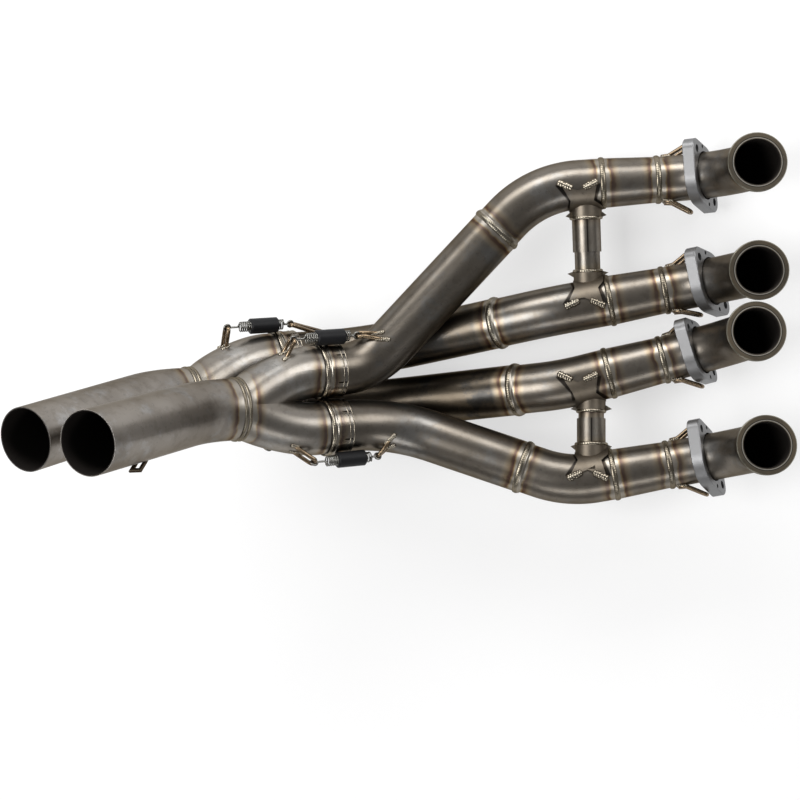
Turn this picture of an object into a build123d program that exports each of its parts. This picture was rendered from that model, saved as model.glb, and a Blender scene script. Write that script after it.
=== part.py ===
from build123d import *
import math
import os

os.makedirs("parts", exist_ok=True)

# Four-into-two exhaust header for an inline four, drawn with the port
# line along Y, the ports facing up Z and the outlets toward -X.
# Every part is then laid on its back, the way it rests on a bench.

# Tube sizes
TUBE_WALL = 1.2
STUB_OD = 38.0
MIDDLE_OD = 41.0
LOWER_OD = 42.4
OUTLET_OD = 50.0
COLLAR_END_STRAIGHT = 3.0

# Routes of the primary pipes: port face, stub corner, middle corner, socket mouth
PORT_1 = Vector(4.0, 110.5, 0)
STUB_CORNER_1 = Vector(6.0, 112.0, -76.0)
MIDDLE_CORNER_1 = Vector(-164.5, 108.5, -85.0)
SOCKET_1 = Vector(-334.0, -36.5, -94.0)

PORT_2 = Vector(1.0, 25.2, 0)
STUB_CORNER_2 = Vector(4.5, 28.5, -76.0)
MIDDLE_CORNER_2 = Vector(-157.5, 5.5, -96.0)
SOCKET_2 = Vector(-372.0, -22.0, -137.0)

PORT_3 = Vector(-3.5, -22.6, 0)
STUB_CORNER_3 = Vector(-2.5, -25.0, -76.0)
MIDDLE_CORNER_3 = Vector(-148.5, -55.5, -94.0)
SOCKET_3 = Vector(-369.5, -68.5, -137.0)

PORT_4 = Vector(0, -111.5, 0)
STUB_CORNER_4 = Vector(1.5, -115.0, -76.0)
MIDDLE_CORNER_4 = Vector(-148.0, -136.0, -88.0)
SOCKET_4 = Vector(-330.5, -83.0, -93.0)

# The sockets of both collectors point the same way
SOCKET_AXIS = Vector(-0.896, -0.055, 0.438).normalized()
APPROACH_1 = 27.5
APPROACH_2 = 66.0
APPROACH_3 = 70.0
APPROACH_4 = 42.0

# Centreline bend radii
STUB_BEND_R = 66.0
MIDDLE_BEND_R_1 = 88.0
MIDDLE_BEND_R_2 = 110.0
MIDDLE_BEND_R_3 = 110.0
MIDDLE_BEND_R_4 = 92.0
LOWER_BEND_R_1 = 57.0
LOWER_BEND_R_2 = 100.0
LOWER_BEND_R_3 = 105.0
LOWER_BEND_R_4 = 102.0

# Weld seams, measured along the centreline from the port face
STUB_SEAM = 120.0
MIDDLE_SEAM = 165.5
LOWER_SEAM_1 = 264.5
LOWER_SEAM_2 = 262.5
LOWER_SEAM_3 = 245.0
LOWER_SEAM_4 = 241.5
BEAD_RISE = 0.8
BEAD_WIDTH = 4.0
SEAM_STRAIGHT = 2.5

# Port rings
RING_OD = 47.0
RING_DEPTH = 12.0
RING_RIM = 5.0
RING_NECK_OD = 41.0
RING_CHAMFER = 0.8
BORE_CHAMFER = 0.6

# Loose flanges
FLANGE_THICK = 10.0
FLANGE_CLEARANCE = 1.0
FLANGE_HUB_OD = 50.0
FLANGE_PCD = 54.0
FLANGE_LOBE_OD = 17.0
FLANGE_HOLE = 6.6
FLANGE_SMALL_HOLE = 3.4
FLANGE_SMALL_PCD = 48.0
FLANGE_SMALL_CLOCK = 30.0
FLANGE_EDGE = 0.6
FLANGE_CLOCK_1 = -41.0
FLANGE_CLOCK_2 = -45.0
FLANGE_CLOCK_3 = -48.0
FLANGE_CLOCK_4 = -30.0
FLANGE_TURN_1 = 63.0
FLANGE_TURN_2 = 60.0
FLANGE_TURN_3 = 65.0
FLANGE_TURN_4 = 64.5

# Sockets of the slip joints
SOCKET_CLEARANCE = 0.15
SOCKET_WALL = 1.3
SOCKET_LENGTH = 18.5
SOCKET_SHOULDER = 3.0
SOCKET_BAND = 4.0
SOCKET_BAND_RISE = 0.6
SLIT_COUNT = 6
SLIT_WIDTH = 1.2
SLIT_LENGTH = 9.0

# Collectors: collar centre, outlet corner and mouth
COLLAR_FRONT = Vector(-413.5, -67.0, -53.0)
OUTLET_CORNER_FRONT = Vector(-441.0, -68.0, -37.0)
MOUTH_FRONT = Vector(-512.5, -92.0, 92.0)
COLLAR_REAR = Vector(-455.5, -55.0, -92.0)
OUTLET_CORNER_REAR = Vector(-483.0, -56.0, -76.0)
MOUTH_REAR = Vector(-565.5, -87.0, 52.0)
OUTLET_BEND_R = 95.0
COLLAR_LENGTH = 6.0
BRANCH_PULL = 30.0

# Cross tubes
CROSS_STATION_1 = 179.5
CROSS_STATION_2 = 183.0
CROSS_STATION_3 = 180.5
CROSS_STATION_4 = 184.0
CROSS_SLEEVE_OD = 23.6
CROSS_WALL = 1.2
CROSS_CLEARANCE = 0.1
CROSS_LAP = 14.0
CROSS_SLEEVE_12 = 56.0
CROSS_SLEEVE_34 = 49.0

# Gusset sheets round the cross tube joints
GUSSET_SHEET = 1.4
GUSSET_TIP = 16.5
GUSSET_TIP_WIDTH = 12.0
GUSSET_REACH_IN = 4.0
GUSSET_NOTCH = 3.0
GUSSET_WAIST = 9.5
GUSSET_WAIST_AT = 14.0
GUSSET_EAR = 17.0
GUSSET_REACH_OUT = 28.0
GUSSET_SHIFT_1 = -7.0
GUSSET_SHIFT_2 = -3.0
GUSSET_SHIFT_3 = -10.0
GUSSET_SHIFT_4 = -3.0

# Wire hooks and springs
HOOK_ROD = 3.4
HOOK_SPREAD = 8.0
HOOK_KNEE = 4.5
PORT_HOOK_BASE = 115.5
PORT_HOOK_LIFT = 109.0
PORT_HOOK_REACH = 21.5
PORT_HOOK_HEIGHT = 29.5
PORT_HOOK_HEIGHT_TIGHT = 26.0
PORT_HOOK_LEAN_TOP = 22.0
PORT_HOOK_LEAN_LOW = -5.0
SPRING_OFFSET = 30.0
SPRING_CLOCK_FRONT = 62.0
SPRING_CLOCK_REAR = 66.0
SPRING_EYE_OUT = 43.0
SPRING_EYE_IN = 14.0
SPRING_WIRE = 1.8
SPRING_EYE_WIDTH = 2.2
SPRING_OD = 9.0
SPRING_TAIL_IN = 7.0
SPRING_TAIL_OUT = 11.0
SPRING_COIL_IN = 5.0
SPRING_SLIDE_1 = 0.0
SPRING_SLIDE_2 = 20.0
SPRING_SLIDE_3 = -8.0
SPRING_SLIDE_4 = -8.0
SPRING_SLEEVE_OD = 13.0
SPRING_SLEEVE_LENGTH = 25.0
SPRING_PITCH = 2.4
FOOT_OUT_1 = 13.0
FOOT_OUT_2 = 2.0
FOOT_OUT_3 = 14.0
FOOT_OUT_4 = 27.0
FOOT_FRONT_1 = 5.0
FOOT_FRONT_2 = 0.0
FOOT_FRONT_3 = 0.0
FOOT_FRONT_4 = 5.0
FOOT_DROP = 21.0
FOOT_BACK_1 = 52.0
FOOT_BACK_2 = 27.0
FOOT_BACK_3 = 57.0
FOOT_BACK_4 = 39.0
FOOT_CLOCK_1 = 32.0
FOOT_CLOCK_2 = 56.0
FOOT_CLOCK_3 = 56.0
FOOT_CLOCK_4 = 42.0
FOOT_SPLAY = 13.0
FOOT_DEPTH = 0.6

# Rest pose on the bench
REST_PITCH = 11.4
REST_ROLL = -8.1


class Straight:
    def __init__(self, start, way, length):
        self.start = start
        self.way = way
        self.length = length

    def point(self, s):
        return self.start + self.way * s

    def heading(self, s):
        return self.way

    def solid(self, s0, s1, outer, inner):
        plane = Plane(origin=self.point(s0), z_dir=self.way)
        body = Solid.make_cylinder(outer, s1 - s0, plane)
        if inner > 0:
            body = body - Solid.make_cylinder(inner, s1 - s0, plane)
        return body


class Arc:
    def __init__(self, start, way, axis, radius, angle):
        self.start = start
        self.way = way
        self.axis = axis
        self.radius = radius
        self.length = radius * angle
        self.centre = start + axis.cross(way) * radius

    def point(self, s):
        spoke = self.start - self.centre
        turn = s / self.radius
        return self.centre + spoke * math.cos(turn) + self.way * (self.radius * math.sin(turn))

    def heading(self, s):
        spoke = (self.start - self.centre).normalized()
        turn = s / self.radius
        return self.way * math.cos(turn) - spoke * math.sin(turn)

    def solid(self, s0, s1, outer, inner):
        plane = Plane(origin=self.point(s0), x_dir=self.axis, z_dir=self.heading(s0))
        section = Circle(outer)
        if inner > 0:
            section = section - Circle(inner)
        turn = math.degrees((s1 - s0) / self.radius)
        return revolve(plane * section, Axis(self.centre, self.axis), turn)


class Route:
    def __init__(self, points, radii):
        self.legs = []
        here = points[0]
        for before, corner, after, radius in zip(points, points[1:], points[2:], radii):
            way = (corner - before).normalized()
            onward = (after - corner).normalized()
            angle = math.acos(way.dot(onward))
            cut = radius * math.tan(angle / 2)
            start = corner - way * cut
            self.legs.append(Straight(here, way, (start - here).length))
            axis = way.cross(onward).normalized()
            self.legs.append(Arc(start, way, axis, radius, angle))
            here = corner + onward * cut
        last = points[-1] - here
        self.legs.append(Straight(here, last.normalized(), last.length))
        self.length = sum(leg.length for leg in self.legs)

    def locate(self, s):
        for leg in self.legs[:-1]:
            if s <= leg.length:
                return leg, s
            s -= leg.length
        return self.legs[-1], s

    def point(self, s):
        leg, rest = self.locate(s)
        return leg.point(rest)

    def heading(self, s):
        leg, rest = self.locate(s)
        return leg.heading(rest)

    def tube(self, s0, s1, outer, inner=0.0):
        body = None
        gone = 0.0
        for leg in self.legs:
            low = max(s0 - gone, 0.0)
            high = min(s1 - gone, leg.length)
            if leg is self.legs[-1]:
                high = s1 - gone
            if high - low > 0.01:
                piece = leg.solid(low, high, outer, inner)
                body = piece if body is None else body + piece
            gone += leg.length
        return body


def frame_at(origin, way, up):
    side = up - way * up.dot(way)
    return Plane(origin=origin, x_dir=side.normalized(), z_dir=way)


def turned(plane, profile):
    outline = Polyline(*[(r, z) for r, z in profile], close=True)
    face = Plane.XZ * make_face(outline)
    body = revolve(face, Axis.Z, 360)
    return plane * body


def ring_profile(inner, outer, low, high):
    return [(inner, low), (outer, low), (outer, high), (inner, high)]


def bead(route, station, radius, low, high):
    plane = Plane(origin=route.point(station), z_dir=route.heading(station))
    top = radius + BEAD_RISE
    slope = (high - low) / 4
    profile = [(radius, low), (top, low + slope), (top, high - slope), (radius, high)]
    return turned(plane, profile)


def rod(points, radius):
    path = Polyline(*points)
    start = points[0]
    way = points[1] - start
    section = Plane(origin=start, z_dir=way) * Circle(radius)
    return sweep(section, path=path, transition=Transition.RIGHT)


# Primary pipes

def primary_route(port, stub_corner, middle_corner, socket, approach, middle_r, lower_r):
    lower_corner = socket - SOCKET_AXIS * approach
    points = [port, stub_corner, middle_corner, lower_corner, socket]
    return Route(points, [STUB_BEND_R, middle_r, lower_r])


def port_ring(route):
    way = route.heading(0)
    plane = Plane(origin=route.point(0), z_dir=way)
    bore = STUB_OD / 2 - TUBE_WALL
    rim = RING_OD / 2
    profile = [
        (bore, BORE_CHAMFER),
        (bore + BORE_CHAMFER, 0),
        (rim - RING_CHAMFER, 0),
        (rim, RING_CHAMFER),
        (rim, RING_RIM - RING_CHAMFER),
        (rim - RING_CHAMFER, RING_RIM),
        (RING_NECK_OD / 2 + 0.6, RING_RIM),
        (RING_NECK_OD / 2, RING_DEPTH - 2.0),
        (STUB_OD / 2 + 0.3, RING_DEPTH),
        (bore, RING_DEPTH),
    ]
    return turned(plane, profile)


def stub_bend(route):
    outer = STUB_OD / 2
    return route.tube(RING_DEPTH, STUB_SEAM, outer, outer - TUBE_WALL)


def upper_cone(route):
    small = STUB_OD / 2
    large = MIDDLE_OD / 2
    plane = Plane(origin=route.point(STUB_SEAM), z_dir=route.heading(STUB_SEAM))
    length = MIDDLE_SEAM - STUB_SEAM
    end = length - SEAM_STRAIGHT
    profile = [
        (small, 0), (small, SEAM_STRAIGHT), (large, end), (large, length),
        (large - TUBE_WALL, length), (large - TUBE_WALL, end),
        (small - TUBE_WALL, SEAM_STRAIGHT), (small - TUBE_WALL, 0),
    ]
    half = BEAD_WIDTH / 2
    body = turned(plane, profile)
    body = body + bead(route, STUB_SEAM, small, -half, half)
    return body + bead(route, MIDDLE_SEAM, large, -half, half)


def middle_bend(route, seam, cross_bore):
    outer = MIDDLE_OD / 2
    return route.tube(MIDDLE_SEAM, seam, outer, outer - TUBE_WALL) - cross_bore


def lower_pipe(route, seam):
    outer = LOWER_OD / 2
    body = route.tube(seam, route.length + SOCKET_LENGTH - SOCKET_SHOULDER, outer, outer - TUBE_WALL)
    small = MIDDLE_OD / 2
    plane = Plane(origin=route.point(seam), z_dir=route.heading(seam))
    crown = outer + BEAD_RISE
    profile = [
        (small, -BEAD_WIDTH), (crown - 0.4, -BEAD_WIDTH * 0.7),
        (crown, -1.0), (crown, 1.0), (outer, 2.0), (outer, 0), (small, 0),
    ]
    return body + turned(plane, profile)


def pipe_outer(route, seam):
    body = route.tube(RING_DEPTH, STUB_SEAM, STUB_OD / 2)
    plane = Plane(origin=route.point(STUB_SEAM), z_dir=route.heading(STUB_SEAM))
    cone = Solid.make_cone(STUB_OD / 2, MIDDLE_OD / 2, MIDDLE_SEAM - STUB_SEAM, plane)
    return body + cone + route.tube(MIDDLE_SEAM, seam, MIDDLE_OD / 2)


# Loose flanges, sliding round the stub bends

def flange(route, turn, clock):
    stub = route.legs[1]
    station = math.radians(turn) * stub.radius
    way = stub.heading(station)
    centre = stub.point(station) - way * (FLANGE_THICK / 2)
    plane = frame_at(centre, way, Vector(0, 1, 0))
    hub = Circle(FLANGE_HUB_OD / 2)
    reach = FLANGE_PCD / 2
    lobes = [Pos(reach, 0) * Circle(FLANGE_LOBE_OD / 2), Pos(-reach, 0) * Circle(FLANGE_LOBE_OD / 2)]
    edges = hub.edges() + lobes[0].edges() + lobes[1].edges()
    plate = extrude(make_hull(edges), FLANGE_THICK)
    plate = chamfer(plate.edges().group_by(Axis.Z)[0] + plate.edges().group_by(Axis.Z)[-1], FLANGE_EDGE)
    bore = STUB_OD / 2 + FLANGE_CLEARANCE
    plate = plate - Solid.make_cylinder(bore, FLANGE_THICK)
    for side in (0, 180):
        big = Rot(0, 0, side) * Pos(reach, 0, 0)
        small = Rot(0, 0, side + FLANGE_SMALL_CLOCK) * Pos(FLANGE_SMALL_PCD / 2, 0, 0)
        plate = plate - big * Solid.make_cylinder(FLANGE_HOLE / 2, FLANGE_THICK)
        plate = plate - small * Solid.make_cylinder(FLANGE_SMALL_HOLE / 2, FLANGE_THICK)
    return plane * (Rot(0, 0, clock) * plate)


# Collectors

def socket(mouth):
    bore = LOWER_OD / 2 + SOCKET_CLEARANCE
    outer = bore + SOCKET_WALL
    seat = LOWER_OD / 2 - TUBE_WALL + 0.2
    band = outer + SOCKET_BAND_RISE
    shoulder = SOCKET_LENGTH - SOCKET_SHOULDER
    profile = [
        (bore, 0), (outer, 0), (outer, shoulder - SOCKET_BAND),
        (band, shoulder - SOCKET_BAND + 0.5), (band, shoulder - 0.5),
        (outer, shoulder), (outer, SOCKET_LENGTH), (seat, SOCKET_LENGTH),
        (seat, shoulder), (bore, shoulder),
    ]
    plane = frame_at(mouth, SOCKET_AXIS, Vector(0, 0, 1))
    body = turned(Plane.XY, profile)
    for k in range(SLIT_COUNT):
        cutter = Pos(outer, 0, SLIT_LENGTH / 2) * Box(outer, SLIT_WIDTH, SLIT_LENGTH)
        body = body - Rot(0, 0, (k + 0.5) * 360 / SLIT_COUNT) * cutter
    return plane * body


def branch_skin(mouth, collar, axis, inset):
    start = mouth + SOCKET_AXIS * SOCKET_LENGTH
    pulled = start + SOCKET_AXIS * BRANCH_PULL
    gap = collar - start
    aim = (collar - pulled).normalized()
    back = collar - aim * (gap.length * 0.45)
    small = LOWER_OD / 2 - inset
    large = OUTLET_OD / 2 - inset
    rings = []
    for t in (0.0, 0.3, 0.6):
        u = 1 - t
        here = start * u**3 + pulled * (3 * u * u * t) + back * (3 * u * t * t) + collar * t**3
        tangent = (pulled - start) * (u * u) + (back - pulled) * (2 * u * t) + (collar - back) * (t * t)
        radius = small + (large - small) * t * 0.35
        plane = frame_at(here, tangent.normalized(), Vector(0, 0, 1))
        rings.append(plane * Circle(radius))
    rings.append(frame_at(collar, axis, Vector(0, 0, 1)) * Circle(large))
    return loft(rings)


def collector(mouth_a, mouth_b, collar, corner, outlet):
    axis = (corner - collar).normalized()
    skin_a = branch_skin(mouth_a, collar, axis, 0.0)
    skin_b = branch_skin(mouth_b, collar, axis, 0.0)
    hollow_a = branch_skin(mouth_a, collar, axis, TUBE_WALL)
    hollow_b = branch_skin(mouth_b, collar, axis, TUBE_WALL)
    body = skin_a + skin_b
    split = (mouth_a - mouth_b).normalized()
    split = (split - axis * split.dot(axis)).normalized()
    plane = Plane(origin=collar, x_dir=axis, z_dir=split)
    half = plane * (Pos(0, 0, 100) * Box(400, 400, 200))
    upper = (body & half) - hollow_a - hollow_b
    lower = (body - half) - hollow_a - hollow_b
    return upper, lower


def collar_ring(collar, corner):
    axis = (corner - collar).normalized()
    outer = OUTLET_OD / 2
    plane = frame_at(collar, axis, Vector(0, 0, 1))
    crown = outer + BEAD_RISE
    profile = [
        (outer - TUBE_WALL, 0), (outer, 0), (crown, 0.4), (crown, 1.8), (outer + 0.15, 2.4),
        (outer + 0.15, COLLAR_LENGTH - 2.4), (crown, COLLAR_LENGTH - 1.8),
        (crown, COLLAR_LENGTH - 0.4), (outer, COLLAR_LENGTH), (outer - TUBE_WALL, COLLAR_LENGTH),
    ]
    return turned(plane, profile)


def outlet_route(collar, corner, mouth):
    axis = (corner - collar).normalized()
    start = collar + axis * COLLAR_LENGTH
    straight = OUTLET_BEND_R
    return Route([start, corner, mouth], [fit_radius(start, corner, mouth, straight)])


def fit_radius(start, corner, mouth, wanted):
    way = (corner - start).normalized()
    onward = (mouth - corner).normalized()
    half = math.acos(way.dot(onward)) / 2
    longest = (corner - start).length - COLLAR_END_STRAIGHT
    return min(wanted, longest / math.tan(half))


def outlet_hook(route, outer):
    s = route.length - 62.0
    way = route.heading(s)
    base = route.point(s)
    down = Vector(0, -1, 0)
    down = (down - way * down.dot(way)).normalized()
    side = way.cross(down) * (HOOK_SPREAD / 2)
    low = base + down * (OUTLET_OD / 2 - 1.0)
    tip = base + way * 9.0 + down * (OUTLET_OD / 2 + 5.0)
    path = [low - side, tip - side, tip + side, low + side]
    return rod(path, HOOK_ROD / 2) - outer


# Cross tubes and their gussets

def cross_tubes(top, bottom, sleeve_length):
    way = (bottom - top).normalized()
    span = (bottom - top).length
    outer = CROSS_SLEEVE_OD / 2
    spigot = outer - CROSS_WALL - CROSS_CLEARANCE
    plane = frame_at(top, way, Vector(0, 0, 1))
    sleeve_bore = outer - CROSS_WALL
    sleeve = Solid.make_cylinder(outer, sleeve_length) - Solid.make_cylinder(sleeve_bore, sleeve_length)
    start = sleeve_length - CROSS_LAP
    tube = Solid.make_cylinder(spigot, span - start) - Solid.make_cylinder(spigot - CROSS_WALL, span - start)
    lip = ring_profile(spigot, sleeve_bore, start, start + 1.0)
    tube = Pos(0, 0, start) * tube + turned(Plane.XY, lip)
    return plane * sleeve, plane * tube, plane


def gusset(route, station, plane, at_top, span, cross_r, shift):
    tube_r = MIDDLE_OD / 2
    pad = route.tube(station - 32.0, station + 32.0, tube_r + GUSSET_SHEET)
    core = route.tube(station - 33.0, station + 33.0, tube_r)
    neck = plane * Solid.make_cylinder(cross_r + GUSSET_SHEET, span)
    stem = plane * Solid.make_cylinder(cross_r, span)
    across = route.heading(station) * -1
    across = (across - plane.z_dir * across.dot(plane.z_dir)).normalized()
    inward = plane.z_dir if at_top else plane.z_dir * -1
    origin = plane.origin if at_top else plane.origin + plane.z_dir * span
    face = Plane(origin=origin, x_dir=across, z_dir=across.cross(inward))
    left = shift - GUSSET_TIP
    right = shift + GUSSET_TIP
    collar = cross_r + GUSSET_SHEET + 0.5
    low = tube_r - 1.5
    outline = [
        (left, -GUSSET_REACH_IN), (left + GUSSET_TIP_WIDTH, -GUSSET_REACH_IN), (shift, GUSSET_NOTCH),
        (right - GUSSET_TIP_WIDTH, -GUSSET_REACH_IN), (right, -GUSSET_REACH_IN),
        (shift / 2 + GUSSET_WAIST, GUSSET_WAIST_AT), (collar, low), (collar, GUSSET_REACH_OUT),
        (-collar, GUSSET_REACH_OUT), (-collar, low), (shift / 2 - GUSSET_WAIST, GUSSET_WAIST_AT),
    ]
    mask = face * extrude(make_face(Polyline(*outline, close=True)), 60, both=True)
    body = ((pad + neck) & mask) - core - stem
    for side in (1, -1):
        ear = [
            (side * (cross_r + 0.3), tube_r + 1.6), (side * GUSSET_EAR, GUSSET_REACH_OUT - 2.0),
            (side * (cross_r + 0.3), GUSSET_REACH_OUT),
        ]
        wing = extrude(make_face(Polyline(*ear, close=True)), GUSSET_SHEET / 2, both=True)
        body = body + face * wing
    half = BEAD_WIDTH / 2
    return body - core - stem - bead(route, MIDDLE_SEAM, tube_r, -half, half)


# Hooks and springs

def hook(points, blockers):
    body = rod(points, HOOK_ROD / 2)
    for blocker in blockers:
        body = body - blocker
    return body


def largest(shape):
    solids = shape.solids()
    return max(solids, key=lambda s: s.volume)


def port_hook(route, side, lean, height, outer):
    way = route.heading(PORT_HOOK_LIFT)
    lean = math.radians(lean)
    up = Vector(0, side * math.cos(lean), -math.sin(lean))
    up = (up - way * up.dot(way)).normalized()
    across = way.cross(up) * (HOOK_SPREAD / 2)
    rod_r = HOOK_ROD / 2
    base = route.point(PORT_HOOK_BASE) + up * (STUB_OD / 2 + rod_r * 0.2)
    lift = route.point(PORT_HOOK_LIFT) + up * (STUB_OD / 2 + rod_r * 0.6)
    tip = route.point(PORT_HOOK_BASE) - way * PORT_HOOK_REACH + up * height
    path = [base - across, lift - across, tip - across, tip + across, lift + across, base + across]
    return largest(hook(path, [outer]))


def spring_frame(clock):
    turn = math.radians(clock)
    up = Vector(0, math.sin(turn), math.cos(turn))
    up = (up - SOCKET_AXIS * up.dot(SOCKET_AXIS)).normalized()
    return up, SOCKET_AXIS.cross(up)


def spring_parts(mouth, clock):
    up, across = spring_frame(clock)
    outer_eye = mouth + SOCKET_AXIS * SPRING_EYE_OUT + up * SPRING_OFFSET
    inner_eye = mouth - SOCKET_AXIS * SPRING_EYE_IN + up * SPRING_OFFSET
    span = (outer_eye - inner_eye).length
    plane = Plane(origin=inner_eye, x_dir=across, z_dir=SOCKET_AXIS)
    rod_r = HOOK_ROD / 2
    wire_r = SPRING_WIRE / 2
    coil_r = SPRING_OD / 2
    eye = []
    for z in (0, span):
        ring = Plane(origin=(0, 0, z), z_dir=(1, 0, 0)) * Pos(0, 0, -SPRING_EYE_WIDTH / 2)
        ring_body = Solid.make_cylinder(rod_r + SPRING_WIRE, SPRING_EYE_WIDTH)
        ring_body = ring_body - Solid.make_cylinder(rod_r, SPRING_EYE_WIDTH)
        eye.append(ring * ring_body)
    start = SPRING_TAIL_IN
    end = span - SPRING_TAIL_OUT
    low = start + SPRING_COIL_IN
    high = low + SPRING_SLEEVE_LENGTH
    profile = [(0, start)]
    z = start
    while z + SPRING_PITCH < low:
        profile += [(coil_r - 1.2, z), (coil_r, z + SPRING_PITCH / 2)]
        z += SPRING_PITCH
    profile += [(coil_r, z), (coil_r, high)]
    z = high
    while z + SPRING_PITCH < end:
        profile += [(coil_r - 1.2, z + SPRING_PITCH / 2), (coil_r, z + SPRING_PITCH)]
        z += SPRING_PITCH
    profile += [(coil_r - 1.2, end), (0, end)]
    coil = turned(Plane.XY, profile)
    tail_in = Pos(0, 0, rod_r + wire_r) * Solid.make_cylinder(wire_r, start - rod_r - wire_r)
    tail_out = Pos(0, 0, end) * Solid.make_cylinder(wire_r, span - end - rod_r - wire_r)
    wire = coil + tail_in + tail_out + eye[0] + eye[1]
    sleeve = turned(Plane.XY, [
        (coil_r, low), (SPRING_SLEEVE_OD / 2 - 0.8, low),
        (SPRING_SLEEVE_OD / 2, low + 0.8), (SPRING_SLEEVE_OD / 2, high - 0.8),
        (SPRING_SLEEVE_OD / 2 - 0.8, high), (coil_r, high),
    ])
    return plane * wire, plane * sleeve, inner_eye, outer_eye, across


def skin_point(route, station, clock, radius):
    way = route.heading(station)
    turn = math.radians(clock)
    out = Vector(0, math.sin(turn), math.cos(turn))
    out = (out - way * out.dot(way)).normalized()
    return route.point(station) + out * radius


def spring_hook(eye, across, low_foot, high_foot, blockers):
    side = across * (HOOK_SPREAD / 2)
    lean = (low_foot + high_foot) / 2 - eye
    lean = (lean - across * lean.dot(across)).normalized() * HOOK_KNEE
    path = [low_foot, eye - side + lean, eye - side, eye + side, eye + side + lean, high_foot]
    return largest(hook(path, blockers))


# Assemble everything in the drawn position

routes = {
    1: primary_route(PORT_1, STUB_CORNER_1, MIDDLE_CORNER_1, SOCKET_1, APPROACH_1, MIDDLE_BEND_R_1, LOWER_BEND_R_1),
    2: primary_route(PORT_2, STUB_CORNER_2, MIDDLE_CORNER_2, SOCKET_2, APPROACH_2, MIDDLE_BEND_R_2, LOWER_BEND_R_2),
    3: primary_route(PORT_3, STUB_CORNER_3, MIDDLE_CORNER_3, SOCKET_3, APPROACH_3, MIDDLE_BEND_R_3, LOWER_BEND_R_3),
    4: primary_route(PORT_4, STUB_CORNER_4, MIDDLE_CORNER_4, SOCKET_4, APPROACH_4, MIDDLE_BEND_R_4, LOWER_BEND_R_4),
}
seams = {1: LOWER_SEAM_1, 2: LOWER_SEAM_2, 3: LOWER_SEAM_3, 4: LOWER_SEAM_4}
turns = {1: FLANGE_TURN_1, 2: FLANGE_TURN_2, 3: FLANGE_TURN_3, 4: FLANGE_TURN_4}
clocks = {1: FLANGE_CLOCK_1, 2: FLANGE_CLOCK_2, 3: FLANGE_CLOCK_3, 4: FLANGE_CLOCK_4}
crossings = {1: CROSS_STATION_1, 2: CROSS_STATION_2, 3: CROSS_STATION_3, 4: CROSS_STATION_4}
shifts = {1: GUSSET_SHIFT_1, 2: GUSSET_SHIFT_2, 3: GUSSET_SHIFT_3, 4: GUSSET_SHIFT_4}
slides = {1: SPRING_SLIDE_1, 2: SPRING_SLIDE_2, 3: SPRING_SLIDE_3, 4: SPRING_SLIDE_4}
feet_out = {1: FOOT_OUT_1, 2: FOOT_OUT_2, 3: FOOT_OUT_3, 4: FOOT_OUT_4}
feet_front = {1: FOOT_FRONT_1, 2: FOOT_FRONT_2, 3: FOOT_FRONT_3, 4: FOOT_FRONT_4}
feet_back = {1: FOOT_BACK_1, 2: FOOT_BACK_2, 3: FOOT_BACK_3, 4: FOOT_BACK_4}
feet_clock = {1: FOOT_CLOCK_1, 2: FOOT_CLOCK_2, 3: FOOT_CLOCK_3, 4: FOOT_CLOCK_4}
parts = {}

for i, route in routes.items():
    parts[f"port_ring_{i}"] = port_ring(route)
    parts[f"stub_bend_{i}"] = stub_bend(route)
    parts[f"upper_cone_{i}"] = upper_cone(route)
    parts[f"lower_pipe_{i}"] = lower_pipe(route, seams[i])
    parts[f"flange_{i}"] = flange(route, turns[i], clocks[i])

outers = {i: pipe_outer(route, seams[i]) for i, route in routes.items()}
for i, route in routes.items():
    top = port_hook(route, 1, PORT_HOOK_LEAN_TOP, PORT_HOOK_HEIGHT, outers[i])
    height = PORT_HOOK_HEIGHT_TIGHT if i == 2 else PORT_HOOK_HEIGHT
    low = port_hook(route, -1, PORT_HOOK_LEAN_LOW, height, outers[i])
    hooks = [top, low]
    parts[f"port_hooks_{i}"] = Compound(hooks)

crosses = {}
for name, top_i, low_i, sleeve_length in (("12", 1, 2, CROSS_SLEEVE_12), ("34", 4, 3, CROSS_SLEEVE_34)):
    top = routes[top_i].point(crossings[top_i])
    low = routes[low_i].point(crossings[low_i])
    sleeve, spigot, plane = cross_tubes(top, low, sleeve_length)
    span = (low - top).length
    parts[f"cross_sleeve_{name}"] = sleeve - outers[top_i]
    parts[f"cross_spigot_{name}"] = spigot - outers[low_i]
    big = CROSS_SLEEVE_OD / 2
    small = big - CROSS_WALL - CROSS_CLEARANCE
    parts[f"gusset_{top_i}"] = gusset(routes[top_i], crossings[top_i], plane, True, span, big, shifts[top_i])
    parts[f"gusset_{low_i}"] = gusset(routes[low_i], crossings[low_i], plane, False, span, small, shifts[low_i])
    way = plane.z_dir
    parts[f"middle_bend_{top_i}"] = middle_bend(
        routes[top_i], seams[top_i], Solid.make_cylinder(big - CROSS_WALL, 30, plane))
    low_plane = Plane(origin=low, z_dir=way * -1)
    parts[f"middle_bend_{low_i}"] = middle_bend(
        routes[low_i], seams[low_i], Solid.make_cylinder(small - CROSS_WALL, 30, low_plane))

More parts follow.
